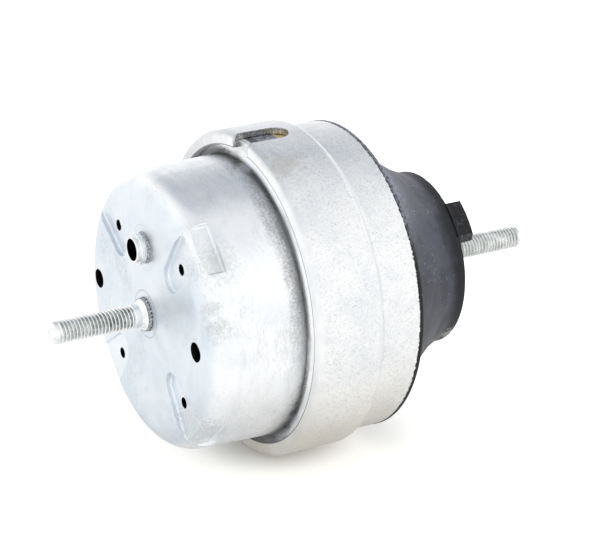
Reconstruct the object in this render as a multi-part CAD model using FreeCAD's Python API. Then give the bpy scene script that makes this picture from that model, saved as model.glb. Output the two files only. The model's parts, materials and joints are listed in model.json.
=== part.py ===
"""Hydraulic rubber-metal engine mount, lying on its side.

X runs along the mount's axis, from the lower can to the upper stud, and +Z is up.
The origin is the centre of the lower can's flat seat. Millimetres throughout.
A profile is a list of (x, radius, rounding) corners that is turned about the X axis.
"""
import FreeCAD, Part
import math
import os

Vector = FreeCAD.Vector
AXIS = Vector(1, 0, 0)

# ---- fits and clearances ----
press_gap = 0.05          # radial gap of a pressed-in piece in its hole
stack_gap = 0.2           # radial gap of a stacked piece inside the housing
float_gap = 0.3           # play of the decoupler in its pocket
edge_break = 0.5          # rounding of moulded and cast edges
same_place = 1e-6         # points closer than this count as one

# ---- both studs ----
stud_r = 4.0
stud_chamfer = 1.1

# ---- lower can: a drawn cup; its side wall sets the size of everything about the axis ----
can_wall = 2.0
can_r = 46.7              # radius of the side wall, run out to the seat's plane
can_taper = 0.035         # the side wall opens by this much for each millimetre
can_corner = 9.0
can_flare = 2.8
can_depth = 36.7          # from the seat to the underside of the flange
flange_width = 6.7
pad_count = 4
pad_depth = 2.0
pad_half_angle = 10.5     # degrees
pad_length = 24.7         # from the side wall in to the pad's round end
pad_side_depth = 1.8
pad_side_length = 9.9
pad_floor_bend = 0.8
pad_rim_bend = 0.3
small_hole_r = 1.85
small_hole_inset = 13.9   # from the side wall to the hole's centre
big_hole_r = 3.3
big_hole_inset = 10.7
sleeve_inset = 23.3

# ---- lower stud ----
lower_stud_reach = 34.5
lower_tip_bend = 0.6
lower_nose_bend = 1.2
neck_r = 5.7
neck_proud = 1.4
neck_splines = 24
spline_depth = 0.5
collar_r = 5.1
collar_length = 1.6
stud_head_r = 8.5
stud_head_height = 3.5
stud_head_bend = 0.8

# ---- locating sleeve ----
sleeve_r = 5.25
sleeve_bore_r = 3.65
sleeve_seat_r = 5.05      # where it goes through the can's wall
sleeve_proud = 4.4
sleeve_nose_r = 4.5
sleeve_nose = 1.3
sleeve_base = 1.6
sleeve_groove = 0.35
sleeve_flange_r = 7.0
sleeve_flange = 1.2
sleeve_edge = 0.3

# ---- outer housing: a stepped ring, crimped over the can's flange ----
housing_wall = 2.0
lip_cover = 2.5           # how far the lip reaches in over the flange
shoulder_bend = 2.2
wide_band = 23.2          # from the lip to the step
step_length = 1.3
step_height = 2.8
step_bend_out = 2.4
step_bend_in = 1.6
narrow_band = 15.4        # from the step to the open end
slot_angle = 92.0         # degrees, from +Y towards +Z
slot_width = 9.8
slot_length = 17.3

# ---- clamped stack: diaphragm, track plates, insert ring ----
diaphragm_wall = 1.8
diaphragm_inset = 5.7     # from the can's side wall to the fold
diaphragm_lean = 3.4      # how far the fold's outer wall leans out on its way up
diaphragm_floor = 13.5    # from the seat to the fold's lowest line
diaphragm_rise = 6.0
fold_bend = 6.0
fold_outer_bend = 9.0
bead_height = 3.0
bead_ring_wall = 1.4
bead_ring_width = 3.8
bead_ring_inset = 1.6
plate_rim = 2.5
lower_plate_drop = 6.7    # how far the lower plate hangs below its rim
lower_plate_bend = 1.0
upper_plate_height = 3.8
track_inset = 6.25        # from the lower plate's edge to the track's middle line
track_width = 7.5
track_depth = 6.7
track_angle = 310.0
port_setback = 8.0        # degrees from the track's end to its port
pocket_wall = 5.0
pocket_depth = 3.0
grille_wall = 2.4
grille_count = 8
grille_hole_r = 3.5
grille_inset = 9.5
skirt_wall = 2.0
seal_height = 0.5
insert_wall = 2.0
insert_recess = 1.0       # how far the insert ring ends short of the housing

# ---- rubber spring and the core that it carries ----
boot_length = 32.3        # from the housing's open end to the boot's end face
boot_end_r = 30.1
boot_end_edge = 0.5
boot_rim = 1.6            # thickness of the rubber over the core's shoulder
boot_neck = 4.0           # length of the straight neck
boot_neck_bend = 6.0
cone_end_gap = 11.2       # from the cone's end to the end face
cone_drop = 3.3           # how much wider the cone's end is than the neck
cone_end_bend = 12.0
cone_ledge = 3.7          # how far the cone's foot lies inside the insert ring
cone_foot_bend = 1.0
bead_wall = 1.2
bead_proud = 0.15
bead_edge = 0.3
chamber_wall = 6.4
chamber_mouth_bend = 6.0
chamber_length = 13.1     # from the housing's step to the chamber's roof
chamber_clearance = 3.0   # round the core, at the chamber's roof
chamber_top_bend = 5.0
skin = 1.5
core_length = 44.5
core_narrowing = 13.0
core_bottom_bend = 3.0
core_cover = 2.1          # rubber round the core at the neck
core_cone_gap = 14.0      # from the cone's wide end to the seat
core_side_bend = 8.0
core_shoulder_bend = 1.0
core_seat_inset = 6.5     # from the core's wide end in to the seat's edge
core_seat_proud = 0.4
upper_stud_reach = 40.8
shank_r = 4.8             # where the stud is cast into the core
head_length = 7.0
head_depth = 15.0         # from the seat to the head
head_r = 8.0
head_bend = 1.0

# ---- anti-rotation lug on the end face ----
lug_angle = 138.1
lug_half_angle = 13.6
lug_height = 5.1
lug_width = 8.4
lug_proud = 0.5           # how far the lug stands out over the boot's end
lug_bevel = 2.0
tab_cover = 1.3

# ---- worked out from the sizes above ----
lip_x = can_depth - housing_wall
step_x = lip_x + wide_band
housing_end = step_x + narrow_band
insert_end = housing_end - insert_recess
flange_r = can_r + flange_width
housing_r = flange_r + stack_gap + housing_wall
housing_end_r = housing_r - step_height
flange_top = can_depth + can_wall
bead_top = flange_top + bead_height
lower_plate_top = bead_top + plate_rim
upper_plate_top = lower_plate_top + upper_plate_height
insert_start = upper_plate_top + seal_height
skirt_r = flange_r - skirt_wall
plate_r = skirt_r - stack_gap
diaphragm_r = can_r - diaphragm_inset
track_r = diaphragm_r - track_inset
pocket_r = track_r - track_width / 2 - pocket_wall
boot_end = housing_end + boot_length
core_seat = boot_end + core_seat_proud
core_shoulder = boot_end - boot_rim
core_r = boot_end_r - core_cover
core_bottom_r = core_r - core_narrowing
core_seat_r = core_r - core_seat_inset


def offset_path(path, distance):
    """The path moved sideways by distance, to its left if positive, its bends kept concentric."""
    points = [Vector(p[0], p[1], 0) for p in path]
    bends = [p[2] if len(p) > 2 else 0 for p in path]
    moved = []
    for i, point in enumerate(points):
        before = (point - points[i - 1]).normalize() if i else None
        after = (points[i + 1] - point).normalize() if i + 1 < len(points) else before
        before = before or after
        left = [Vector(-d.y, d.x, 0) for d in (before, after)]
        shift = (left[0] + left[1]) * (distance / (1 + left[0].dot(left[1])))
        turns_left = before.cross(after).z > 0
        bend = bends[i] and bends[i] + (-distance if turns_left else distance)
        moved.append((point.x + shift.x, point.y + shift.y, bend))
    return moved


def sheet(path, wall):
    """Closed profile of a sheet: one face follows the path, the other lies wall to its right."""
    return list(path) + offset_path(path, -wall)[::-1]


def rounded_wire(profile, place):
    """Closed wire through the profile's corners, each with its rounding; place maps (a, b) to 3-D."""
    corners = [place(p[0], p[1]) for p in profile]
    edges = []
    spans = []
    for i, corner in enumerate(corners):
        radius = profile[i][2] if len(profile[i]) > 2 else 0
        back = (corners[i - 1] - corner).normalize()
        ahead = (corners[(i + 1) % len(corners)] - corner).normalize()
        if not radius:
            spans.append((corner, corner))
            continue
        half = back.getAngle(ahead) / 2
        cut = radius / math.tan(half)
        middle = corner + (back + ahead).normalize() * (radius / math.sin(half) - radius)
        spans.append((corner + back * cut, corner + ahead * cut))
        edges.append(Part.Arc(spans[i][0], middle, spans[i][1]).toShape())
    for i, (_, leave) in enumerate(spans):
        enter = spans[(i + 1) % len(spans)][0]
        if leave.distanceToPoint(enter) > same_place:
            edges.append(Part.LineSegment(leave, enter).toShape())
    return Part.Wire(Part.__sortEdges__(edges))


def on_axis_plane(x, radius):
    return Vector(x, 0, radius)


def turned(profile):
    """Solid of revolution of a closed (x, radius, rounding) profile."""
    face = Part.Face(rounded_wire(profile, on_axis_plane))
    return face.revolve(Vector(0, 0, 0), AXIS, 360)


def cylinder(radius, x_from, x_to, pcr=0, angle=0):
    """Cylinder along X whose centre lies pcr from the axis, at an angle from +Y towards +Z."""
    centre = Vector(x_from, pcr * math.cos(math.radians(angle)), pcr * math.sin(math.radians(angle)))
    return Part.makeCylinder(radius, x_to - x_from, centre, AXIS)


def ring_of(shape, count, start=0):
    """Copies of a shape that stands at angle 0, evenly spaced about the axis."""
    copies = []
    for i in range(count):
        copy = shape.copy()
        copy.rotate(Vector(0, 0, 0), AXIS, start + 360 * i / count)
        copies.append(copy)
    return copies


def sector(r_in, r_out, x_from, x_to, middle, half_angle):
    """Block between two radii and two radial planes."""
    section = [(x_from, r_in), (x_from, r_out), (x_to, r_out), (x_to, r_in)]
    face = Part.Face(rounded_wire(section, on_axis_plane))
    block = face.revolve(Vector(0, 0, 0), AXIS, 2 * half_angle)
    block.rotate(Vector(0, 0, 0), AXIS, middle - half_angle - 90)
    return block


def pad_tool(grow, bend=0):
    """What a formed pad takes out of the can's corner at angle 0, all its faces moved out by grow."""
    half = math.radians(pad_half_angle)
    nose_y = (can_r - pad_length) / (1 - math.sin(half))
    nose_r = nose_y * math.sin(half) + grow
    reach = can_r + can_corner
    foot = Vector(0, nose_y - nose_r * math.sin(half), nose_r * math.cos(half))
    tip = foot + Vector(0, math.cos(half), math.sin(half)) * reach
    other_foot = Vector(0, foot.y, -foot.z)
    other_tip = Vector(0, tip.y, -tip.z)
    outline = Part.Face(Part.Wire([
        Part.Arc(other_foot, Vector(0, nose_y - nose_r, 0), foot).toShape(),
        Part.LineSegment(foot, tip).toShape(),
        Part.LineSegment(tip, other_tip).toShape(),
        Part.LineSegment(other_tip, other_foot).toShape(),
    ]))
    outline.translate(Vector(-can_wall, 0, 0))
    floor = pad_depth + grow
    flat = can_r - pad_side_depth - grow
    face_part = outline.extrude(AXIS * (can_wall + floor))
    side_part = outline.extrude(AXIS * (can_wall + pad_side_length + grow))
    beyond_flat = Part.makeBox(4 * can_r, 2 * reach, 2 * reach, Vector(-2 * can_r, flat, -reach))
    tool = face_part.fuse(side_part.common(beyond_flat)).removeSplitter()
    if not bend:
        return tool
    floor_edges = [e for e in tool.Edges
                   if e.BoundBox.XMin > floor - same_place and e.BoundBox.YMax < flat + same_place]
    return tool.makeFillet(bend, floor_edges)


def pad_rims(can, plain_cup):
    """Edges where the pads meet the cup's turned outside."""
    rims = []
    for edge in can.Edges:
        middle = edge.valueAt((edge.FirstParameter + edge.LastParameter) / 2)
        centre = edge.Curve.Center if edge.Curve.TypeId == "Part::GeomCircle" else middle
        about_axis = math.hypot(centre.y, centre.z) < same_place
        if not about_axis and Part.Vertex(middle).distToShape(plain_cup.Shells[0])[0] < 1e-4:
            rims.append(edge)
    return rims


def lower_can():
    """Drawn cup with four formed pads, six holes in its face, a stud hole and a sleeve hole."""
    mouth_r = can_r + can_taper * can_depth
    outside = [(0, 0), (0, can_r, can_corner), (can_depth, mouth_r, can_flare), (can_depth, flange_r)]
    inside = offset_path(outside, -can_wall)
    over = flange_top + can_wall
    first_pad = 180 / pad_count
    cup = turned(outside + [(flange_top, flange_r), (flange_top, 0)])
    hollow = turned(inside + [(over, flange_r), (over, 0)])
    hollow = hollow.cut(ring_of(pad_tool(can_wall), pad_count, first_pad))
    can = cup.cut(ring_of(pad_tool(0, pad_floor_bend), pad_count, first_pad))
    can = can.makeFillet(pad_rim_bend, pad_rims(can, cup)).cut(hollow)
    through = pad_depth + 2 * can_wall
    holes = [cylinder(neck_r + press_gap, -can_wall, through)]
    holes.append(cylinder(sleeve_r + press_gap, -can_wall, through, can_r - sleeve_inset, 90))
    small_hole = cylinder(small_hole_r, -can_wall, through, can_r - small_hole_inset)
    big_hole = cylinder(big_hole_r, -can_wall, through + can_corner, can_r - big_hole_inset)
    holes += ring_of(small_hole, pad_count, first_pad) + ring_of(big_hole, 2)
    return can.cut(holes)


def lower_stud():
    """Stud pressed in from inside the can: nose, shank, collar, splined neck and flat head."""
    collar_top = -neck_proud
    collar_foot = collar_top - collar_length
    body = turned([
        (-lower_stud_reach, 0),
        (-lower_stud_reach, stud_r - stud_chamfer, lower_tip_bend),
        (2 * stud_chamfer - lower_stud_reach, stud_r, lower_nose_bend),
        (collar_foot, stud_r),
        (collar_top, collar_r),
        (collar_top, neck_r),
        (can_wall, neck_r),
        (can_wall, stud_head_r),
        (can_wall + stud_head_height, stud_head_r, stud_head_bend),
        (can_wall + stud_head_height, 0),
    ])
    pitch = 2 * math.pi * neck_r / neck_splines
    groove = Part.Face(Part.makePolygon([
        Vector(collar_top, neck_r - spline_depth, 0),
        Vector(collar_top, neck_r + spline_depth, pitch / 2),
        Vector(collar_top, neck_r + spline_depth, -pitch / 2),
        Vector(collar_top, neck_r - spline_depth, 0),
    ])).extrude(AXIS * (neck_proud + can_wall))
    return body.cut(ring_of(groove, neck_splines))


def locating_sleeve():
    """Hollow spigot pressed through the can's face, with a stepped nose and an inner flange."""
    bore_end = can_wall + sleeve_flange
    groove_r = sleeve_r - sleeve_groove
    sleeve = turned([
        (-sleeve_proud, sleeve_bore_r, sleeve_edge),
        (-sleeve_proud, sleeve_nose_r, sleeve_edge),
        (sleeve_nose - sleeve_proud, sleeve_nose_r),
        (sleeve_nose - sleeve_proud, sleeve_r, sleeve_edge),
        (-sleeve_base - sleeve_groove, sleeve_r),
        (-sleeve_base - sleeve_groove / 2, groove_r),
        (-sleeve_base, sleeve_r),
        (0, sleeve_r),
        (0, sleeve_seat_r),
        (can_wall, sleeve_seat_r),
        (can_wall, sleeve_flange_r),
        (bore_end, sleeve_flange_r, sleeve_edge),
        (bore_end, sleeve_bore_r),
    ])
    sleeve.translate(Vector(0, 0, can_r - sleeve_inset))
    return sleeve


def housing_path(x_from, x_to):
    """Outer line of the stepped ring, between two places along the axis."""
    return [
        (x_from, housing_r),
        (step_x, housing_r, step_bend_out),
        (step_x + step_length, housing_end_r, step_bend_in),
        (x_to, housing_end_r),
    ]


def outer_housing():
    """Stepped ring: the crimped lip, the wide band with its slot, the step and the narrow band."""
    lip_r = flange_r - lip_cover
    path = housing_path(lip_x, housing_end)
    path[0] = (lip_x, housing_r, shoulder_bend)
    ring = turned(sheet([(lip_x, lip_r)] + path, housing_wall))
    half = slot_width / 2
    low = lip_r - housing_wall
    height = 2 * housing_wall + housing_r - low
    straight = slot_length - half
    corner = Vector(lip_x - housing_wall, -half, low)
    slot = Part.makeBox(straight + housing_wall, slot_width, height, corner)
    slot = slot.fuse(Part.makeCylinder(half, height, Vector(lip_x + straight, 0, low)))
    slot.rotate(Vector(0, 0, 0), AXIS, slot_angle - 90)
    return ring.cut(slot)


def insert_ring():
    """Steel ring that the rubber is bonded to; it nests inside the housing's step."""
    path = offset_path(housing_path(insert_start, insert_end), -housing_wall - stack_gap)
    return turned(sheet(path, insert_wall))


def diaphragm_ring():
    """Flat steel ring that stiffens the diaphragm's bead and lies on the can's flange."""
    outer = flange_r - bead_ring_inset
    inner = outer - bead_ring_width
    top = flange_top + bead_ring_wall
    return turned([(flange_top, inner), (flange_top, outer), (top, outer), (top, inner)])


def diaphragm(ring):
    """Rolling bellows that closes the lower chamber, with a bead moulded over its steel ring."""
    crown_r = diaphragm_r / 4
    crown = diaphragm_floor + diaphragm_rise
    leaned_r = diaphragm_r + diaphragm_lean
    path = [
        (crown, 0),
        (crown, crown_r, fold_bend),
        (diaphragm_floor, 2 * crown_r, fold_bend),
        (diaphragm_floor, diaphragm_r, fold_outer_bend),
        (bead_top - bead_height / 2, leaned_r),
    ]
    bead_in = leaned_r - diaphragm_wall
    bead = turned([
        (flange_top, bead_in, edge_break), (flange_top, flange_r), (bead_top, flange_r), (bead_top, bead_in),
    ])
    return turned(sheet(path, diaphragm_wall)).fuse(bead).cut(ring).removeSplitter()


def grille_holes(x_from, x_to):
    """The grille's round holes: a ring of them and one in the middle."""
    holes = ring_of(cylinder(grille_hole_r, x_from, x_to, pocket_r - grille_inset), grille_count)
    return holes + [cylinder(grille_hole_r, x_from, x_to)]


def lower_track_plate():
    """Cast plate with the inertia track, open upwards, and the decoupler's pocket and grille."""
    bottom = bead_top - lower_plate_drop
    pocket_floor = lower_plate_top - pocket_depth
    plate = turned([
        (bottom, 0), (bottom, diaphragm_r, lower_plate_bend), (bead_top, diaphragm_r),
        (bead_top, plate_r), (lower_plate_top, plate_r), (lower_plate_top, 0),
    ])
    half = track_width / 2
    track = sector(track_r - half, track_r + half, lower_plate_top - track_depth, lower_plate_top,
                   270, track_angle / 2)
    outlet = cylinder(half, bottom, lower_plate_top, track_r,
                      270 - track_angle / 2 + port_setback)
    pocket = cylinder(pocket_r, pocket_floor, lower_plate_top)
    relief = cylinder(pocket_r, bottom, pocket_floor - grille_wall)
    cuts = [track, outlet, pocket, relief] + grille_holes(bottom, lower_plate_top)
    return plate.cut(cuts)


def upper_track_plate():
    """Cast cover of the inertia track, with its inlet and the upper half of the grille."""
    plate = turned([
        (lower_plate_top, 0), (lower_plate_top, plate_r), (upper_plate_top, plate_r), (upper_plate_top, 0),
    ])
    relief = cylinder(pocket_r, lower_plate_top + grille_wall, upper_plate_top)
    inlet = cylinder(track_width / 2, lower_plate_top, upper_plate_top, track_r,
                     270 + track_angle / 2 - port_setback)
    return plate.cut([relief, inlet] + grille_holes(lower_plate_top, upper_plate_top))


def decoupler():
    """Loose rubber disc that flutters between the two grilles; it lies on the lower one."""
    pocket_floor = lower_plate_top - pocket_depth
    top = lower_plate_top - float_gap
    edge = pocket_r - float_gap
    return turned([(pocket_floor, 0), (pocket_floor, edge, edge_break), (top, edge, edge_break), (top, 0)])


def upper_stud():
    """Stud with its head and its thicker shank cast into the core."""
    tip = core_seat + upper_stud_reach
    head_to = core_seat - head_depth
    head_from = head_to - head_length
    return turned([
        (head_from, 0), (head_from, head_r, head_bend), (head_to, head_r, head_bend), (head_to, shank_r),
        (core_seat, shank_r), (core_seat, stud_r), (tip - stud_chamfer, stud_r),
        (tip, stud_r - stud_chamfer), (tip, 0),
    ])


def upper_core(stud):
    """Cast cone inside the rubber, with a round seat and the tab inside the lug."""
    bottom = core_seat - core_length
    core = turned([
        (bottom, 0),
        (bottom, core_bottom_r, core_bottom_bend),
        (core_seat - core_cone_gap, core_r, core_side_bend),
        (core_shoulder, core_r, core_shoulder_bend),
        (core_shoulder, core_seat_r),
        (core_seat, core_seat_r, edge_break / 2),
        (core_seat, 0),
    ])
    tab_angle = lug_half_angle - math.degrees(2 * tab_cover / boot_end_r)
    tab_in = boot_end_r + lug_proud - lug_width + tab_cover
    tab = sector(tab_in, core_r - tab_cover, core_shoulder - tab_cover,
                 boot_end + lug_height - tab_cover, lug_angle, tab_angle)
    return core.fuse(tab).removeSplitter().cut(stud)


def main_rubber(core):
    """Rubber spring and boot in one moulding: seal skirt, bonded wall, cone, bead, end face and lug."""
    bonded = offset_path(housing_path(insert_start, insert_end), -housing_wall - stack_gap - insert_wall)
    fitted_r = housing_end_r - housing_wall - stack_gap
    bead_r = housing_end_r + bead_proud
    bead_x = housing_end + bead_wall
    chamber_r = flange_r - chamber_wall
    tip = core_seat - core_length - skin
    chamber = [
        (tip, 0),
        (tip, core_bottom_r, core_bottom_bend),
        (step_x + chamber_length, core_r + chamber_clearance, chamber_top_bend),
        (step_x, chamber_r, chamber_mouth_bend),
        (upper_plate_top, chamber_r),
    ]
    seal = [
        (upper_plate_top, skirt_r),
        (bead_top, skirt_r),
        (bead_top, flange_r),
        (insert_start, flange_r),
    ]
    flare = [
        (insert_end, fitted_r),
        (housing_end, fitted_r),
        (housing_end, bead_r, bead_edge),
        (bead_x, bead_r, 2 * bead_edge),
        (bead_x + bead_wall / 2, fitted_r, 2 * bead_edge),
        (bead_x + bead_wall / 2, fitted_r - cone_ledge, cone_foot_bend),
        (boot_end - cone_end_gap, boot_end_r + cone_drop, cone_end_bend),
        (boot_end - boot_neck, boot_end_r, boot_neck_bend),
        (boot_end, boot_end_r, boot_end_edge),
        (boot_end, 0),
    ]
    body = turned(chamber + seal + bonded + flare)
    lug_root = boot_end - boot_rim / 2
    lug_top = boot_end + lug_height
    lug_r = boot_end_r + lug_proud
    lug = sector(lug_r - lug_width, lug_r, lug_root, lug_top, lug_angle, lug_half_angle)
    outer_edges = [e for e in lug.Edges
                   if abs(e.Length - (lug_top - lug_root)) < same_place
                   and abs(math.hypot(e.CenterOfMass.y, e.CenterOfMass.z) - lug_r) < same_place]
    low_edge = min(outer_edges, key=lambda e: e.CenterOfMass.z)
    lug = lug.makeChamfer(lug_bevel, [low_edge])
    return body.fuse(lug).removeSplitter().cut(core)


def main():
    os.makedirs("parts", exist_ok=True)
    ring = diaphragm_ring()
    stud = upper_stud()
    core = upper_core(stud)
    nodes = {
        "lower_can": lower_can(),
        "lower_stud": lower_stud(),
        "locating_sleeve": locating_sleeve(),
        "outer_housing": outer_housing(),
        "insert_ring": insert_ring(),
        "diaphragm": diaphragm(ring),
        "diaphragm_ring": ring,
        "lower_track_plate": lower_track_plate(),
        "upper_track_plate": upper_track_plate(),
        "decoupler": decoupler(),
        "main_rubber": main_rubber(core.fuse(stud)),
        "upper_core": core,
        "upper_stud": stud,
    }
    for name, shape in nodes.items():
        print(name, len(shape.Solids), round(shape.Volume), shape.isValid())
        shape.exportStep(f"parts/{name}.step")


main()
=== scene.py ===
"""Looks of the hydraulic engine mount: finishes for its pieces, cut threads for its studs, and a
white studio."""
import bpy
import json
import math
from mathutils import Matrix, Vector


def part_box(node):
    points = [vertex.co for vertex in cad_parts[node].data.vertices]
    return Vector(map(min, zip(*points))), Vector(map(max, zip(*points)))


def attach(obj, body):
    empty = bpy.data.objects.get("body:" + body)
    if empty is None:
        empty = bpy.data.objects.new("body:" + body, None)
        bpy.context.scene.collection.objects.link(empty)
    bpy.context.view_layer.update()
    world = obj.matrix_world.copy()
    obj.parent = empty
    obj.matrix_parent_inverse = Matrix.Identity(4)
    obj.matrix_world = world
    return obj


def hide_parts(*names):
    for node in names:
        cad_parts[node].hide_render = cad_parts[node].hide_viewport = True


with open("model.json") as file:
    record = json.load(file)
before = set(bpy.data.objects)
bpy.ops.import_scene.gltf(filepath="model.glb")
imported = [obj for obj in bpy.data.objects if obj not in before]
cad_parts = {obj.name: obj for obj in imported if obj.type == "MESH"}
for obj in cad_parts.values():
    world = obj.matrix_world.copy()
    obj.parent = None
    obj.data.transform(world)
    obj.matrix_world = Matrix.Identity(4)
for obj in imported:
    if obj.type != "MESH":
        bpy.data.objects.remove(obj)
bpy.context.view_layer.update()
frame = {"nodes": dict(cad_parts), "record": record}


# ---------------------------------------------------------------- places and sizes

MM = 0.001

AXIS_HEIGHT = -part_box("outer_housing")[0][2]    # of the mount's axis above the floor
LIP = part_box("outer_housing")[0][0]             # the ring's crimped end
RING_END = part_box("outer_housing")[1][0]        # its open end, under the boot's bead
RING_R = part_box("outer_housing")[1][2]
MOUNTS = {mount["name"]: Vector(mount["pos_m"]) for mount in frame["record"]["mounts"]}
SLEEVE = (0.0, 0.0, MOUNTS["locating_sleeve"].z)    # its middle, on the can's face
SEAT = MOUNTS["upper_seat"].x                   # the core's seat, round the upper stud
BOOT_END = SEAT - 0.4 * MM

# the can; each hole stands for all those that mirror it about the axis
SMALL_HOLE, SMALL_HOLE_R = (0.0, 23.19 * MM, 23.19 * MM), 1.85 * MM
BIG_HOLE, BIG_HOLE_R = (0.0, 36.0 * MM, 0.0), 3.3 * MM
SLEEVE_BORE_R = 3.65 * MM
FLARE_R = 50.8 * MM                             # of the side wall, where it flares under the lip

# the ring's lip and its slot, which runs in from the lip, straight and then round
LIP_BORE_R = 51.0 * MM
SLOT_ANGLE = 92.0                               # degrees, from +Y towards +Z
SLOT_HALF = 4.9 * MM
SLOT_STRAIGHT = 12.4 * MM

# the boot's bead over the ring's open end, and its lug
BEAD_END = RING_END + 1.6 * MM
BEVEL_ANGLE = math.radians(196.7)
BEVEL_REACH = 20.0 * MM

# the studs
CREST_R = 4.0 * MM
PITCH = 1.25 * MM
THREAD_DEPTH = 0.6134 * PITCH
COLLAR_FOOT, COLLAR_TOP = -3.0 * MM, -1.4 * MM
COLLAR_R = 5.1 * MM
NECK_R = 5.7 * MM
SPLINES, SPLINE_DEPTH = 24, 0.5 * MM
STUD_SIDES = 96                                 # round the turned meshes

GRAIN_DEPTH = 0.12 * MM


# ---------------------------------------------------------------- colours

WHITE = (1, 1, 1, 1)
BRIGHT_ZINC, DULL_ZINC = (0.95, 0.965, 0.975, 1), (0.78, 0.82, 0.86, 1)
COOL_SHADED_FACE = (0.86, 0.90, 0.94, 1)
DRAWING_MARKS = (0.55, 0.58, 0.62, 1)
SHADED_BELT = (0.13, 0.135, 0.14, 1)
SEAM_SHADE = (0.06, 0.06, 0.06, 1)
CORNER_REFLECTION = (0.50, 0.55, 0.52, 1)
SCUFF_AND_SHADE = (0.58, 0.62, 0.59, 1)
SCRATCH = (0.34, 0.35, 0.37, 1)
COINED_LINE_SHADE = (0.45, 0.47, 0.5, 1)
HOLE_SHADE = (0.02, 0.02, 0.02, 1)

DULL_SILVER, GREY_SILVER = (0.92, 0.93, 0.93, 1), (0.80, 0.825, 0.85, 1)
WARM_SILVER = (0.79, 0.745, 0.65, 1)
STAIN = (0.66, 0.62, 0.55, 1)
PIT = (0.40, 0.41, 0.42, 1)
LIP_GAP_SHADE = (0.1, 0.1, 0.1, 1)
SHEARED_EDGE = (0.20, 0.19, 0.175, 1)

STUD_ZINC, WORN_STUD = (0.96, 0.97, 0.965, 1), (0.70, 0.73, 0.70, 1)
THREAD_ROOT_SHADE = (0.12, 0.135, 0.125, 1)
BORE_SHADE = (0.01, 0.01, 0.01, 1)
SPLINE_SHADE = (0.16, 0.165, 0.175, 1)

BRIGHT_YELLOW_ZINC, DEEP_YELLOW_ZINC = (0.86, 0.76, 0.46, 1), (0.70, 0.52, 0.16, 1)
LIGHT_STEEL, DARK_STEEL = (0.58, 0.59, 0.61, 1), (0.46, 0.47, 0.5, 1)
LIGHT_CAST, DARK_CAST = (0.74, 0.75, 0.76, 1), (0.6, 0.61, 0.63, 1)

BLOOMED_RUBBER, DEEP_RUBBER = (0.066, 0.072, 0.094, 1), (0.022, 0.025, 0.034, 1)
BLACK_RUBBER = (0.012, 0.012, 0.013, 1)
LUG_BLACK = (0.003, 0.003, 0.004, 1)
LUG_BLOTCH = (0.34, 0.36, 0.38, 1)
BEVEL_HIGHLIGHT = (0.42, 0.44, 0.45, 1)
SHEEN = (0.42, 0.44, 0.53, 1)
DUST = (0.5, 0.51, 0.55, 1)
END_RIM = (0.006, 0.006, 0.008, 1)
UNDERSIDE_SHADE = (0.02, 0.021, 0.025, 1)
NICKED_RUBBER = (0.5, 0.49, 0.47, 1)
INNER_RUBBER, DARK_INNER_RUBBER = (0.06, 0.06, 0.065, 1), (0.035, 0.035, 0.04, 1)

FLOOR_SEEN, FLOOR_REFLECTED = (0.95, 0.94, 0.90, 1), (0.68, 0.675, 0.665, 1)
ROOM, ROOM_GAP = (1.13, 1.13, 1.13, 1), (0.50, 0.53, 0.58, 1)


# ---------------------------------------------------------------- node helpers

class Graph:
    """Short-hand for wiring one node tree."""

    def __init__(self, tree):
        self.tree = tree
        self.x = -1400

    def add(self, kind, inputs=None, **settings):
        """A new node, to the right of the last one."""
        node = self.tree.nodes.new(kind)
        node.location = (self.x, 0)
        self.x += 60
        for name, value in settings.items():
            setattr(node, name, value)
        for name, value in (inputs or {}).items():
            self.feed(node.inputs[name], value)
        return node

    def feed(self, socket, value):
        """Link one socket to another, or set its plain value."""
        if isinstance(value, bpy.types.NodeSocket):
            self.tree.links.new(value, socket)
        else:
            socket.default_value = value

    def operate(self, kind, operation, values):
        node = self.add(kind, operation=operation)
        for socket, value in zip(node.inputs, values):
            self.feed(socket, value)
        return node.outputs

    def math(self, operation, *values):
        return self.operate("ShaderNodeMath", operation, values)["Value"]

    def plus(self, a, b):
        return self.math("ADD", a, b)

    def minus(self, a, b):
        return self.math("SUBTRACT", a, b)

    def times(self, a, b):
        return self.math("MULTIPLY", a, b)

    def larger(self, a, b):
        return self.math("MAXIMUM", a, b)

    def length(self, a, b):
        """Length of the slope of two sides at right angles."""
        return self.math("SQRT", self.plus(self.math("POWER", a, 2.0), self.math("POWER", b, 2.0)))

    def vector(self, operation, *values):
        return self.operate("ShaderNodeVectorMath", operation, values)

    def split(self, vector):
        return self.add("ShaderNodeSeparateXYZ", {"Vector": vector}).outputs

    def ramp(self, value, low, high, to_low=0.0, to_high=1.0):
        """Goes smoothly from one number to the other as the value goes from low to high."""
        limits = {"Value": value, "From Min": low, "From Max": high, "To Min": to_low,
                  "To Max": to_high}
        return self.add("ShaderNodeMapRange", limits, interpolation_type="SMOOTHSTEP").outputs[0]

    def between(self, value, low, high):
        """1 where the value lies between two numbers, else 0."""
        return self.times(self.math("GREATER_THAN", value, low),
                          self.math("LESS_THAN", value, high))

    def mix(self, share, a, b, blend="MIX"):
        node = self.add("ShaderNodeMix", data_type="RGBA", blend_type=blend)
        share_socket, a_socket, b_socket = node.inputs[0], node.inputs[6], node.inputs[7]
        self.feed(share_socket, share)
        self.feed(a_socket, a)
        self.feed(b_socket, b)
        return node.outputs[2]

    def scale_for(self, size):
        """Texture scale for marks whose size in millimetres comes from a socket."""
        return self.math("DIVIDE", 1 / MM, size)

    def noise_at(self, vector, scale, detail, roughness=0.5, distortion=0.0):
        return self.add("ShaderNodeTexNoise", {
            "Vector": vector, "Scale": scale, "Detail": detail, "Roughness": roughness,
            "Distortion": distortion}).outputs

    def noise(self, vector, size_mm, detail=3.0, roughness=0.55):
        return self.noise_at(vector, 1 / (size_mm * MM), detail, roughness)["Fac"]

    def wobble(self, noise, reach):
        """A noise made to swing about nought."""
        return self.times(self.minus(noise, 0.5), reach)


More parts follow.
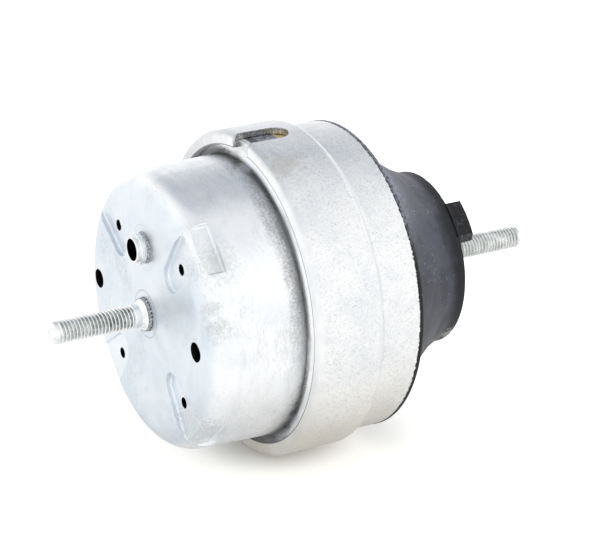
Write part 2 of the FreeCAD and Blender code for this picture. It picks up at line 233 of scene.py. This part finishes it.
def new_group(name, inputs, outputs):
    """Group that reads a place and the named inputs: its tree, graph, given values and results."""
    tree = bpy.data.node_groups.new(name, "ShaderNodeTree")
    tree.interface.new_socket("Place", in_out="INPUT", socket_type="NodeSocketVector")
    for label, kind, default in inputs:
        socket = tree.interface.new_socket(label, in_out="INPUT", socket_type="NodeSocket" + kind)
        if default is not None:
            socket.default_value = default
    for label, kind in outputs:
        tree.interface.new_socket(label, in_out="OUTPUT", socket_type="NodeSocket" + kind)
    graph = Graph(tree)
    return tree, graph, graph.add("NodeGroupInput").outputs, graph.add("NodeGroupOutput").inputs


# ---------------------------------------------------------------- surface effects

def make_cloudy_plating():
    """Two tones that drift into each other, as plating does over pressed sheet."""
    tree, g, given, out = new_group(
        "cloudy plating",
        [("Light tone", "Color", WHITE), ("Dull tone", "Color", (0.7, 0.7, 0.7, 1)),
         ("Cloud size", "Float", 18.0), ("Amount", "Float", 0.5)],
        [("Colour", "Color")])
    clouds = g.noise_at(given["Place"], g.scale_for(given["Cloud size"]), 4.0, 0.6, 0.6)["Fac"]
    share = g.times(g.ramp(clouds, 0.38, 0.66), given["Amount"])
    g.feed(out["Colour"], g.mix(share, given["Light tone"], given["Dull tone"]))
    return tree


def make_fine_grain():
    """Small bumps with darker pits between them, as on blasted or dull-plated steel."""
    tree, g, given, out = new_group(
        "fine grain",
        [("Grain size", "Float", 0.5)],
        [("Height", "Float"), ("Pits", "Float")])
    scale = g.scale_for(given["Grain size"])
    grain = g.noise_at(given["Place"], scale, 2.0, 0.7)["Fac"]
    coarse = g.noise_at(given["Place"], g.times(scale, 0.37), 2.0, 0.6)["Fac"]
    both = g.plus(g.times(grain, 0.6), g.times(coarse, 0.4))
    g.feed(out["Height"], both)
    g.feed(out["Pits"], g.ramp(both, 0.5, 0.36))
    return tree


def make_dust_specks():
    """Scattered pale specks."""
    tree, g, given, out = new_group(
        "dust specks",
        [("Spacing", "Float", 3.0), ("Speck size", "Float", 0.1)],
        [("Specks", "Float")])
    scale = g.scale_for(given["Spacing"])
    cells = g.add("ShaderNodeTexVoronoi", {"Vector": given["Place"], "Scale": scale,
                                           "Randomness": 1.0}).outputs
    near = g.ramp(cells["Distance"], given["Speck size"], 0.0)
    patchy = g.noise_at(given["Place"], g.times(scale, 0.2), 1.0)["Fac"]
    g.feed(out["Specks"], g.times(near, g.ramp(patchy, 0.45, 0.6)))
    return tree


def make_fine_scratches():
    """Thin broken scratches that run mainly round the mount's axis."""
    tree, g, given, out = new_group(
        "fine scratches",
        [("Spacing", "Float", 2.0)],
        [("Scratches", "Float")])
    scale = g.scale_for(given["Spacing"])
    bent = g.noise_at(given["Place"], g.times(scale, 0.15), 1.0)["Color"]
    bend = 12 * MM
    moved = g.vector("MULTIPLY_ADD", bent, (bend, bend, bend), given["Place"])["Vector"]
    drawn_out = g.vector("MULTIPLY", moved, (1.0, 0.12, 0.12))["Vector"]
    lines = g.noise_at(drawn_out, scale, 5.0, 0.8)["Fac"]
    thin = g.ramp(g.math("ABSOLUTE", g.minus(lines, 0.5)), 0.012, 0.0)
    patchy = g.noise_at(given["Place"], g.times(scale, 0.12), 2.0)["Fac"]
    g.feed(out["Scratches"], g.times(thin, g.ramp(patchy, 0.48, 0.62)))
    return tree


def make_worn_patch():
    """One patch with a ragged edge, somewhere on the surface."""
    tree, g, given, out = new_group(
        "worn patch",
        [("Middle", "Vector", None), ("Patch radius", "Float", 6.0),
         ("Raggedness", "Float", 0.5), ("Grain size", "Float", 2.0)],
        [("Mask", "Float")])
    away = g.vector("DISTANCE", given["Place"], given["Middle"])["Value"]
    share = g.math("DIVIDE", g.math("DIVIDE", away, MM), given["Patch radius"])
    grain = g.noise_at(given["Place"], g.scale_for(given["Grain size"]), 4.0, 0.7)["Fac"]
    push = g.wobble(grain, g.times(given["Raggedness"], 4.0))
    g.feed(out["Mask"], g.ramp(g.plus(share, push), 1.0, 0.35))
    return tree


def make_coined_ring():
    """Thin line pressed into the can's face, at a radius round a centre on that face."""
    tree, g, given, out = new_group(
        "coined ring",
        [("Middle", "Vector", None), ("Ring radius", "Float", 8.0), ("Line width", "Float", 0.5)],
        [("Line", "Float")])
    offset = g.split(g.vector("SUBTRACT", given["Place"], given["Middle"])["Vector"])
    radius = g.math("DIVIDE", g.length(offset["Y"], offset["Z"]), MM)
    gap = g.math("ABSOLUTE", g.minus(radius, given["Ring radius"]))
    line = g.ramp(g.math("DIVIDE", gap, given["Line width"]), 1.0, 0.2)
    g.feed(out["Line"], g.times(line, g.ramp(offset["X"], 1.5 * MM, 0.6 * MM)))
    return tree


def make_slot_outline():
    """Where the ring's slot lies, and the band of its sheared wall."""
    tree, g, given, out = new_group("slot outline", [], [("Inside", "Float"), ("Wall", "Float")])
    angle = math.radians(SLOT_ANGLE)
    across = (0.0, -math.sin(angle), math.cos(angle))
    beside = g.vector("DOT_PRODUCT", given["Place"], across)["Value"]
    parts = g.split(given["Place"])
    past = g.larger(g.minus(parts["X"], LIP + SLOT_STRAIGHT), 0.0)
    away = g.length(past, beside)
    upper = g.math("GREATER_THAN", parts["Z"], 0.0)
    near = g.ramp(g.math("ABSOLUTE", g.minus(away, SLOT_HALF)), 0.35 * MM, 0.12 * MM)
    g.feed(out["Inside"], g.times(g.math("LESS_THAN", away, SLOT_HALF), upper))
    g.feed(out["Wall"], g.times(near, upper))
    return tree


CLOUDY = make_cloudy_plating()
GRAIN = make_fine_grain()
SPECKS = make_dust_specks()
SCRATCHES = make_fine_scratches()
PATCH = make_worn_patch()
COINED = make_coined_ring()
SLOT = make_slot_outline()


def use(g, group, place, **values):
    """Outputs of an effect placed in a material, with that material's own values."""
    node = g.add("ShaderNodeGroup", {"Place": place}, node_tree=group)
    for name, value in values.items():
        g.feed(node.inputs[name.replace("_", " ")], value)
    return node.outputs


def clouds(g, place, light, dull, size_mm, amount):
    return use(g, CLOUDY, place, Light_tone=light, Dull_tone=dull, Cloud_size=size_mm,
               Amount=amount)["Colour"]


def patch(g, place, middle, radius_mm, raggedness, grain_mm):
    return use(g, PATCH, place, Middle=middle, Patch_radius=radius_mm, Raggedness=raggedness,
               Grain_size=grain_mm)["Mask"]


def coined(g, place, middle, radius_mm, width_mm):
    return use(g, COINED, place, Middle=middle, Ring_radius=radius_mm, Line_width=width_mm)["Line"]


# ---------------------------------------------------------------- finishes

def start_finish(name, metallic, roughness):
    """A new material: itself, its graph, the place on the piece, and its shader."""
    material = bpy.data.materials.new(name)
    material.use_nodes = True
    material.node_tree.nodes.clear()
    g = Graph(material.node_tree)
    place = g.add("ShaderNodeTexCoord").outputs["Object"]
    shader = g.add("ShaderNodeBsdfPrincipled", {"Metallic": metallic, "Roughness": roughness})
    g.add("ShaderNodeOutputMaterial", {"Surface": shader.outputs[0]}).location = (600, 0)
    return material, g, place, shader


def bump(g, shader, height, depth_mm):
    node = g.add("ShaderNodeBump", {"Height": height, "Distance": depth_mm * MM, "Strength": 1.0})
    g.feed(shader.inputs["Normal"], node.outputs["Normal"])


def on_side(x_mm, radius_mm, degrees):
    """Place on a round wall, its angle counted from +Y towards +Z."""
    angle = math.radians(degrees)
    return (x_mm * MM, radius_mm * math.cos(angle) * MM, radius_mm * math.sin(angle) * MM)


def squeezed(g, place, scale):
    """The place scaled axis by axis, so that a noise read there is drawn out."""
    return g.vector("MULTIPLY", place, scale)["Vector"]


def from_axis(g, place):
    """Distance from the mount's axis."""
    return g.vector("LENGTH", squeezed(g, place, (0.0, 1.0, 1.0)))["Value"]


def away_from(g, place, middle):
    """Distance, square to the mount's axis, from a middle."""
    return from_axis(g, g.vector("SUBTRACT", place, middle)["Vector"])


def in_bore(g, place, middle, radius, edge=(0.1, 0.03)):
    """1 within a hole's radius and 0 on the face round it; the edge is in millimetres."""
    return g.ramp(away_from(g, place, middle), radius + edge[0] * MM, radius + edge[1] * MM)


def plated_can():
    """Bright zinc over drawn sheet: clouds, scuffs and scratches, with painted shade in a belt
    where the lip overhangs it, on the flat face, in the seam under the lip, in the holes and in the
    coined lines, and a painted reflection at the face's corner.
    """
    material, g, place, shader = start_finish("bright zinc on drawn sheet", 1.0, 0.3)
    parts = g.split(place)
    along, height = parts["X"], parts["Z"]
    face = g.ramp(along, 3.5 * MM, 0.8 * MM)
    plating = clouds(g, place, BRIGHT_ZINC, DULL_ZINC, 24.0, 0.5)
    # cooler and darker on the flat face: the plating's cool tint together with painted shade for
    # the face's dimmer reflection
    colour = g.mix(face, plating, COOL_SHADED_FACE, "MULTIPLY")
    round_marks = g.noise(squeezed(g, place, (1.0, 0.22, 0.22)), 3.0, 5.0, 0.75)
    colour = g.mix(g.ramp(round_marks, 0.5, 0.68, 0.0, 0.16), colour, DRAWING_MARKS)

    # painted shade: a dark belt on the can under the lip's overhang, with a ragged drifting edge,
    # stronger towards the top
    drift = g.plus(g.wobble(round_marks, 9 * MM), g.wobble(g.noise(place, 0.7, 2.0), 7 * MM))
    belt = g.times(g.ramp(g.plus(along, drift), LIP - 8.7 * MM, LIP - 0.7 * MM),
                   g.ramp(along, LIP + 0.7 * MM, LIP - 0.3 * MM))
    belt_strength = g.ramp(height, -14 * MM, 16 * MM, 0.25, 0.75)
    colour = g.mix(g.times(belt, belt_strength), colour, SHADED_BELT)
    # painted shade in the seam where the can's flare meets the lip, left out inside the slot
    seam = g.times(g.ramp(from_axis(g, place), FLARE_R - 0.5 * MM, FLARE_R),
                   g.ramp(along, LIP + 2.3 * MM, LIP + 1.3 * MM))
    seam = g.times(seam, g.minus(1.0, use(g, SLOT, place)["Inside"]))
    colour = g.mix(g.times(seam, 0.8), colour, SEAM_SHADE)

    # painted reflection: a darker greenish patch on the face's rounded corner
    corner_reflection = g.larger(patch(g, place, on_side(3.4, 44.2, 159), 5.0, 0.7, 3.0),
                           patch(g, place, on_side(4.6, 44.9, 167), 5.0, 0.7, 3.0))
    patchy_painted_light = g.times(corner_reflection, g.ramp(g.noise(place, 0.8, 3.0, 0.7), 0.4, 0.6, 0.25, 0.6))
    colour = g.mix(patchy_painted_light, colour, CORNER_REFLECTION)
    # a real scuff low on the face's edge, and a scuff on the pad's flat near the top that also
    # paints shade over its bright reflection
    scuffs_and_pad_shade = g.larger(patch(g, place, on_side(9.0, 44.5, 142), 8.0, 1.0, 1.2),
                      patch(g, place, on_side(3.0, 41.0, 226), 10.0, 1.0, 1.0))
    colour = g.mix(g.times(scuffs_and_pad_shade, 0.35), colour, SCUFF_AND_SHADE)
    scratches = use(g, SCRATCHES, place, Spacing=2.2)["Scratches"]
    colour = g.mix(g.times(scratches, 0.45), colour, SCRATCH)

    # coined lines round the stud and the sleeve: bumps, with painted shade in them
    rings = g.plus(coined(g, place, (0, 0, 0), 8.0, 0.4),
                   g.times(coined(g, place, SLEEVE, 7.6, 0.3), 0.4))
    colour = g.mix(g.times(rings, 0.55), colour, COINED_LINE_SHADE)
    # painted shade inside the holes through the face
    mirrored = g.vector("ABSOLUTE", place)["Vector"]
    holes = g.larger(in_bore(g, mirrored, SMALL_HOLE, SMALL_HOLE_R),
                     in_bore(g, mirrored, BIG_HOLE, BIG_HOLE_R))
    holes = g.times(holes, g.math("GREATER_THAN", along, 0.05 * MM))
    colour = g.mix(g.times(holes, 0.95), colour, HOLE_SHADE)
    g.feed(shader.inputs["Base Color"], colour)

    rough = g.ramp(g.noise(place, 9.0, 3.0), 0.3, 0.7, 0.24, 0.38)
    duller = g.plus(g.times(scuffs_and_pad_shade, 0.15), g.times(face, 0.12))
    g.feed(shader.inputs["Roughness"], g.plus(rough, duller))
    marks = g.plus(g.times(scratches, -0.3), g.times(rings, -1.2))
    dents = g.times(g.noise(place, 9.0, 2.0), 1.6)
    bump(g, shader, g.plus(g.plus(g.noise(place, 2.5, 2.0), marks), dents), 0.04)
    return material


def grained_housing():
    """Dull silver plating with a sandy grain and a stain behind the lip; warmer towards the bottom
    as a painted reflection of the floor, and painted shade in the gap at the lip's inner edge.
    """
    material, g, place, shader = start_finish("dull silver on steel", 1.0, 0.38)
    parts = g.split(place)
    along, height = parts["X"], parts["Z"]
    radius = from_axis(g, place)
    on_lip = g.ramp(along, LIP + 2.2 * MM, LIP + 0.5 * MM)
    grain = use(g, GRAIN, place, Grain_size=0.3)

    plating = clouds(g, place, DULL_SILVER, GREY_SILVER, 11.0, 0.7)
    # painted reflection: warmer towards the bottom, for the warm shaded floor that the ring mirrors
    # there
    painted_warm_reflection = g.times(g.ramp(height, 0.0, -46 * MM),
                   g.ramp(g.noise(place, 14.0, 3.0), 0.3, 0.6, 0.55, 1.0))
    colour = g.mix(g.times(painted_warm_reflection, 0.8), plating, WARM_SILVER)
    stain = patch(g, place, on_side(41.0, 55.6, 112), 8.0, 0.9, 3.0)
    colour = g.mix(g.times(stain, 0.45), colour, STAIN)
    pits = g.times(grain["Pits"], g.minus(0.5, g.times(on_lip, 0.4)))
    colour = g.mix(pits, colour, PIT)
    # painted shade in the gap at the lip's inner edge
    lip_bore = g.ramp(radius, LIP_BORE_R + 0.35 * MM, LIP_BORE_R)
    colour = g.mix(g.times(lip_bore, 0.85), colour, LIP_GAP_SHADE)
    sheared = g.times(use(g, SLOT, place)["Wall"],
                      g.ramp(g.noise(place, 0.6, 3.0, 0.7), 0.35, 0.65, 0.1, 0.9))
    colour = g.mix(sheared, colour, SHEARED_EDGE)
    ragged = g.wobble(g.noise(place, 0.9, 4.0, 0.7), 1.8 * MM)
    flash = g.ramp(g.plus(along, ragged), RING_END - 0.35 * MM, RING_END - 0.2 * MM)
    colour = g.mix(flash, colour, BLACK_RUBBER)
    g.feed(shader.inputs["Base Color"], colour)

    # the lip's low part is duller, and its face is rolled outwards, less so there
    foot = g.times(g.ramp(height, -30 * MM, -46 * MM), on_lip)
    g.feed(shader.inputs["Roughness"], g.plus(0.38, g.times(foot, 0.3)))
    g.feed(shader.inputs["Metallic"], g.minus(1.0, g.times(foot, 0.8)))
    slope = g.minus(0.6 / GRAIN_DEPTH, g.times(foot, 0.45 / GRAIN_DEPTH))
    roll = g.times(g.times(g.minus(RING_R, radius), slope), on_lip)
    bump(g, shader, g.plus(grain["Height"], roll), GRAIN_DEPTH / MM)
    return material


def plated_stud():
    """Bright zinc on cut steel, with painted shade in the thread roots, between the splines and in
    the sleeve's bore.
    """
    material, g, place, shader = start_finish("bright zinc on cut steel", 1.0, 0.24)
    along = g.split(place)["X"]
    radius = from_axis(g, place)
    plating = clouds(g, place, STUD_ZINC, WORN_STUD, 4.0, 0.7)

    # painted shade in the thread roots, weaker towards the lower stud's tip and on the upper stud
    root = g.ramp(radius, CREST_R - 0.2 * MM, CREST_R - 0.7 * MM)
    lower_thread = g.between(along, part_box("lower_stud")[0][0] + 2.8 * MM, 0.0)
    upper_thread = g.between(along, SEAT + 0.3 * MM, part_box("upper_stud")[1][0] - 1.3 * MM)
    near_can = g.ramp(along, -28 * MM, -8 * MM, 0.55, 1.0)
    in_thread = g.times(root, g.plus(g.times(lower_thread, near_can),
                                     g.times(upper_thread, 0.65)))
    root_shade_amount = g.ramp(g.noise(place, 3.0, 3.0), 0.35, 0.65, 0.35, 0.95)
    colour = g.mix(g.times(in_thread, root_shade_amount), plating, THREAD_ROOT_SHADE)
    # painted shade in the sleeve's bore
    colour = g.mix(in_bore(g, place, SLEEVE, SLEEVE_BORE_R, (0.12, 0.04)), colour, BORE_SHADE)
    # painted shade, in streaks, over the splined neck
    splines = g.times(g.ramp(radius, COLLAR_R + 0.05 * MM, COLLAR_R + 0.2 * MM),
                      g.between(along, COLLAR_TOP - 0.05 * MM, 0.0))
    streaks = g.ramp(g.noise(place, 0.5, 2.0), 0.35, 0.6, 0.35, 0.85)
    colour = g.mix(g.times(splines, streaks), colour, SPLINE_SHADE)
    g.feed(shader.inputs["Base Color"], colour)
    bump(g, shader, g.noise(place, 0.6, 2.0), 0.015)
    return material


def soft_clouded(name, metallic, roughness, light, dull, cloud_mm, amount, ripple_mm):
    """Plain finish of an inner piece: two tones in clouds over a faint ripple."""
    material, g, place, shader = start_finish(name, metallic, roughness)
    g.feed(shader.inputs["Base Color"], clouds(g, place, light, dull, cloud_mm, amount))
    bump(g, shader, g.noise(place, ripple_mm, 2.0), 0.02)
    return material


def cast_aluminium():
    """Grey casting with a coarse sandy skin."""
    material, g, place, shader = start_finish("cast aluminium", 1.0, 0.5)
    g.feed(shader.inputs["Base Color"], clouds(g, place, LIGHT_CAST, DARK_CAST, 9.0, 0.6))
    bump(g, shader, use(g, GRAIN, place, Grain_size=0.7)["Height"], 0.08)
    return material


def boot_rubber():
    """Moulded rubber with a violet-grey bloom and dust, a painted sheen on its top near the ring
    and painted shade on its underside; bead, end and lug are blacker.
    """
    material, g, place, shader = start_finish("moulded boot rubber", 0.0, 0.48)
    shader.inputs["Specular IOR Level"].default_value = 0.3
    parts = g.split(place)
    along, height = parts["X"], parts["Z"]
    colour = clouds(g, place, BLOOMED_RUBBER, DEEP_RUBBER, 16.0, 0.8)
    bead = g.ramp(along, BEAD_END + 0.5 * MM, BEAD_END)
    colour = g.mix(bead, colour, BLACK_RUBBER)

    lug = g.ramp(along, BOOT_END + 0.1 * MM, BOOT_END + 0.3 * MM)
    colour = g.mix(lug, colour, LUG_BLACK)
    blotches = g.times(g.ramp(g.noise(place, 1.5, 4.0, 0.7), 0.52, 0.62), lug)
    colour = g.mix(g.times(blotches, 0.6), colour, LUG_BLOTCH)
    # painted highlight: a light, patchy strip on the lug's bevelled edge
    reach = g.plus(g.times(parts["Y"], math.cos(BEVEL_ANGLE)),
                   g.times(parts["Z"], math.sin(BEVEL_ANGLE)))
    bevel = g.times(g.ramp(reach, BEVEL_REACH - 0.1 * MM, BEVEL_REACH + 0.1 * MM), lug)
    patchy_painted_light = g.ramp(g.noise(place, 1.6, 3.0, 0.7), 0.42, 0.56, 0.15, 0.8)
    colour = g.mix(g.times(bevel, patchy_painted_light), colour, BEVEL_HIGHLIGHT)

    # painted sheen on the boot's top near the ring
    upper_near_ring = g.times(g.ramp(height, 18 * MM, 40 * MM),
                   g.ramp(along, RING_END + 16.7 * MM, RING_END + 6.7 * MM))
    painted_sheen = g.times(upper_near_ring, g.ramp(g.noise(place, 1.2, 4.0, 0.75), 0.38, 0.62, 0.1, 0.55))
    colour = g.mix(painted_sheen, colour, SHEEN)
    low_side = g.ramp(height, 6 * MM, -30 * MM, 0.0, 0.4)
    settled = g.larger(low_side, g.times(upper_near_ring, 0.6))
    dust = use(g, SPECKS, place, Spacing=1.5, Speck_size=0.24)["Specks"]
    fine_dust = use(g, SPECKS, place, Spacing=0.8, Speck_size=0.3)["Specks"]
    specks = g.larger(dust, g.times(fine_dust, settled))
    colour = g.mix(g.times(specks, 0.6), colour, DUST)

    ragged = g.times(g.noise(place, 5.0, 3.0), 6 * MM)
    end_rim = g.ramp(g.plus(along, ragged), BOOT_END - 6 * MM, BOOT_END + 1 * MM)
    colour = g.mix(g.times(end_rim, 0.85), colour, END_RIM)
    # painted shade, darker towards the underside
    colour = g.mix(g.ramp(height, 0.0, -28 * MM, 0.0, 0.6), colour, UNDERSIDE_SHADE)
    nick = patch(g, place, on_side(104.0, 30.1, 222), 3.4, 1.2, 1.0)
    colour = g.mix(g.times(nick, 0.7), colour, NICKED_RUBBER)
    g.feed(shader.inputs["Base Color"], colour)

    grain = use(g, GRAIN, place, Grain_size=0.5)["Height"]
    flow = g.times(g.noise(place, 6.0, 3.0), 3.0)
    bump(g, shader, g.plus(grain, flow), 0.06)
    return material


FINISHES = {
    "can_zinc": plated_can(),
    "stud_zinc": plated_stud(),
    "housing_steel": grained_housing(),
    "yellow_zinc": soft_clouded("yellow passivated steel", 1.0, 0.35, BRIGHT_YELLOW_ZINC,
                                DEEP_YELLOW_ZINC, 4.0, 0.8, 0.8),
    "plain_steel": soft_clouded("pressed steel", 1.0, 0.4, LIGHT_STEEL, DARK_STEEL, 6.0, 0.6, 1.0),
    "cast_aluminium": cast_aluminium(),
    "inner_rubber": soft_clouded("smooth inner rubber", 0.0, 0.45, INNER_RUBBER,
                                 DARK_INNER_RUBBER, 8.0, 0.6, 0.7),
    "boot_rubber": boot_rubber(),
}


def finish_nodes():
    """Give each carried-over solid the finish of its material slot."""
    for entry in frame["record"]["subparts"]:
        solid = frame["nodes"][entry["node"]]
        for slot in solid.material_slots:
            slot.material = FINISHES[entry["material_slot"]]


# ---------------------------------------------------------------- studs with cut threads

def thread_cut(x, angle, start, end):
    """Depth of a metric thread below its crest at a place on the shank, fading at both ends."""
    turn = ((x - start) / PITCH - angle / (2 * math.pi)) % 1.0
    flank = abs(turn - 0.5) * 2
    crest_flat, root_flat = 1 / 8, 1 / 4
    share = min(max((flank - crest_flat) / (1 - crest_flat - root_flat), 0.0), 1.0)
    runout = min(1.0, (x - start) / PITCH, (end - x) / PITCH)
    return THREAD_DEPTH * share * max(runout, 0.0)


def spline_cut(x, angle):
    """Depth of the V grooves between the splines of the pressed-in neck, the same all along it."""
    turn = (angle * SPLINES / (2 * math.pi)) % 1.0
    return SPLINE_DEPTH * max(0.0, 1 - abs(turn - 0.5) * 3)


def turned_piece(name, stations):
    """Closed mesh turned about the axis.

    A station is (x, radius, cut), and cut(x, angle) is taken off its radius.
    """
    vertices = []
    for x, radius, cut in stations:
        for i in range(STUD_SIDES):
            angle = 2 * math.pi * i / STUD_SIDES
            r = radius - (cut(x, angle) if cut else 0.0)
            vertices.append((x, r * math.cos(angle), r * math.sin(angle)))
    faces = []
    for ring in range(len(stations) - 1):
        low, high = ring * STUD_SIDES, (ring + 1) * STUD_SIDES
        for i in range(STUD_SIDES):
            j = (i + 1) % STUD_SIDES
            faces.append((low + i, low + j, high + j, high + i))
    first_rim = range(STUD_SIDES)
    last_rim = range((len(stations) - 1) * STUD_SIDES, len(stations) * STUD_SIDES)
    faces += [tuple(reversed(first_rim)), tuple(last_rim)]
    mesh = bpy.data.meshes.new(name)
    mesh.from_pydata(vertices, [], faces)
    mesh.update()
    mesh.shade_smooth()
    mesh.set_sharp_from_angle(angle=math.radians(68))
    piece = bpy.data.objects.new(name, mesh)
    bpy.context.collection.objects.link(piece)
    return piece


def spread(start, end, step):
    """Places from start to end, about a step apart."""
    count = max(1, round((end - start) / step))
    return [start + (end - start) * i / count for i in range(count + 1)]


def dress(piece, node, slot):
    """Put a piece in a solid's place, with the finish of its slot."""
    piece.data.materials.append(FINISHES[slot])
    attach(piece, "root")
    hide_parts(node)


def lower_stud():
    """Stud through the can's face: rounded nose, thread, collar, splined neck and inner head."""
    low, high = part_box("lower_stud")
    tip = low[0]
    nose_end = tip + 3.0 * MM
    thread_end = COLLAR_FOOT - 1.6 * MM
    head_from, head_r, head_bend = 2.0 * MM, high[1], 0.8 * MM

    def thread(x, angle):
        return thread_cut(x, angle, tip + 2.2 * MM, thread_end)

    def nose_r(x):
        share = (nose_end - x) / (nose_end - tip)
        return CREST_R * (1 - share ** 2.6) ** 0.5

    stations = [(x, nose_r(x), None)
                for x in spread(tip + 0.002 * MM, tip + 0.3 * MM, 0.04 * MM)]
    stations += [(x, nose_r(x), thread) for x in spread(tip + 0.4 * MM, nose_end, 0.1 * MM)]
    stations += [(x, CREST_R, thread)
                 for x in spread(nose_end + 0.1 * MM, thread_end, 0.1 * MM)]
    stations += [
        (thread_end + 0.1 * MM, CREST_R, None),
        (COLLAR_FOOT, CREST_R, None),
        (COLLAR_FOOT + 0.15 * MM, CREST_R + 0.4 * MM, None),
        (COLLAR_TOP, COLLAR_R, None),
        (COLLAR_TOP, COLLAR_R + 0.1 * MM, None),
        (COLLAR_TOP, NECK_R, spline_cut),
        (head_from, NECK_R, spline_cut),
        (head_from, head_r, None),
        (high[0] - head_bend, head_r, None),
        (high[0], head_r - head_bend, None),
    ]
    dress(turned_piece("lower_threaded_stud", stations), "lower_stud", "stud_zinc")


def upper_stud():
    """Stud out of the core: head and shank cast in, then the thread and a chamfered tip."""
    low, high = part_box("upper_stud")
    tip = high[0]
    chamfer = 1.1 * MM
    head_end, head_r, head_bend = low[0] + 7.0 * MM, high[1], 1.0 * MM
    shank_r = 4.8 * MM

    def thread(x, angle):
        return thread_cut(x, angle, SEAT + 0.2 * MM, tip + PITCH)

    stations = [
        (low[0], head_r - head_bend, None),
        (low[0] + head_bend, head_r, None),
        (head_end - head_bend, head_r, None),
        (head_end, head_r - head_bend, None),
        (head_end, shank_r, None),
        (SEAT, shank_r, None),
        (SEAT, CREST_R, None),
    ]
    stations += [(x, CREST_R, thread) for x in spread(SEAT + 0.2 * MM, tip - chamfer, 0.1 * MM)]
    stations += [(x, CREST_R - (x - tip + chamfer), None) for x in (tip - chamfer / 2, tip)]
    dress(turned_piece("upper_threaded_stud", stations), "upper_stud", "stud_zinc")


# ---------------------------------------------------------------- studio

def floor():
    """White floor whose glow for the camera is painted light, fading out round the ring's foot so
    that the shadow shows only close round it; it shows grey in metal.
    """
    bpy.ops.mesh.primitive_plane_add(size=12, location=(0, 0, -AXIS_HEIGHT))
    plane = bpy.context.object
    plane.name = "studio_floor"
    material, g, place, shader = start_finish("white studio floor", 0.0, 0.9)
    shader.inputs["Specular IOR Level"].default_value = 0.0
    shader.inputs["Emission Color"].default_value = WHITE
    path = g.add("ShaderNodeLightPath").outputs
    tone = g.mix(path["Is Camera Ray"], FLOOR_REFLECTED, FLOOR_SEEN)
    g.feed(shader.inputs["Base Color"], tone)
    # painted light: the glow for the camera fades out near the ring's foot, so the shadow shows
    # only there
    ring_foot = (LIP + 11.6 * MM, 0.0, 0.0)
    away = g.vector("DISTANCE", place, ring_foot)["Value"]
    seen = g.times(path["Is Camera Ray"], g.ramp(away, 10 * MM, 32 * MM, 0.0, 0.4))
    reflected = g.times(path["Is Glossy Ray"], 0.24)
    g.feed(shader.inputs["Emission Strength"], g.plus(seen, reflected))
    plane.data.materials.append(material)


def world_light():
    """White to the camera; round the object a white room with a grey gap between its panels."""
    world = bpy.data.worlds.new("pale room")
    bpy.context.scene.world = world
    world.use_nodes = True
    world.node_tree.nodes.clear()
    g = Graph(world.node_tree)
    direction = g.add("ShaderNodeTexCoord").outputs["Generated"]
    gap_direction = (0.2, 0.53, 0.82)
    gap = g.ramp(g.vector("DOT_PRODUCT", direction, gap_direction)["Value"], 0.74, 0.97)
    ceiling = g.ramp(g.split(direction)["Z"], 0.6, 0.95, 0.0, 0.45)
    room = g.mix(g.larger(gap, ceiling), ROOM, ROOM_GAP)
    path = g.add("ShaderNodeLightPath").outputs
    seen = g.mix(path["Is Camera Ray"], room, WHITE)
    background = g.add("ShaderNodeBackground", {"Color": seen, "Strength": 1.0})
    g.add("ShaderNodeOutputWorld", {"Surface": background.outputs[0]})


def toward(azimuth, elevation):
    """Direction in degrees: azimuth 0 is -Y, and it turns towards +X."""
    a, e = math.radians(azimuth), math.radians(elevation)
    return Vector((math.sin(a) * math.cos(e), -math.cos(a) * math.cos(e), math.sin(e)))


def place_facing(name, data, direction):
    """Object whose -Z axis looks back along a direction."""
    holder = bpy.data.objects.new(name, data)
    holder.rotation_euler = direction.to_track_quat("Z", "Y").to_euler()
    bpy.context.collection.objects.link(holder)
    return holder


def sun(name, azimuth, elevation, strength, spread_angle):
    """Far soft lamp, which metal doesn't mirror."""
    lamp = bpy.data.lights.new(name, "SUN")
    lamp.energy = strength
    lamp.angle = math.radians(spread_angle)
    place_facing(name, lamp, toward(azimuth, elevation)).visible_glossy = False


def camera():
    """Long lens, from in front of the can's face, above it and a little to its side."""
    target, distance = Vector((0.0576, -0.0010, 0.0028)), 0.790
    away = toward(-29.38, 21.83)
    lens = bpy.data.cameras.new("camera")
    lens.lens = 140
    lens.sensor_width = 36
    holder = place_facing("camera", lens, away)
    holder.location = target + away * distance
    bpy.context.scene.camera = holder


finish_nodes()
lower_stud()
upper_stud()
floor()
world_light()
sun("softbox overhead and behind", azimuth=115, elevation=62, strength=1.1, spread_angle=40)
camera()
bpy.context.scene.view_settings.view_transform = "Standard"
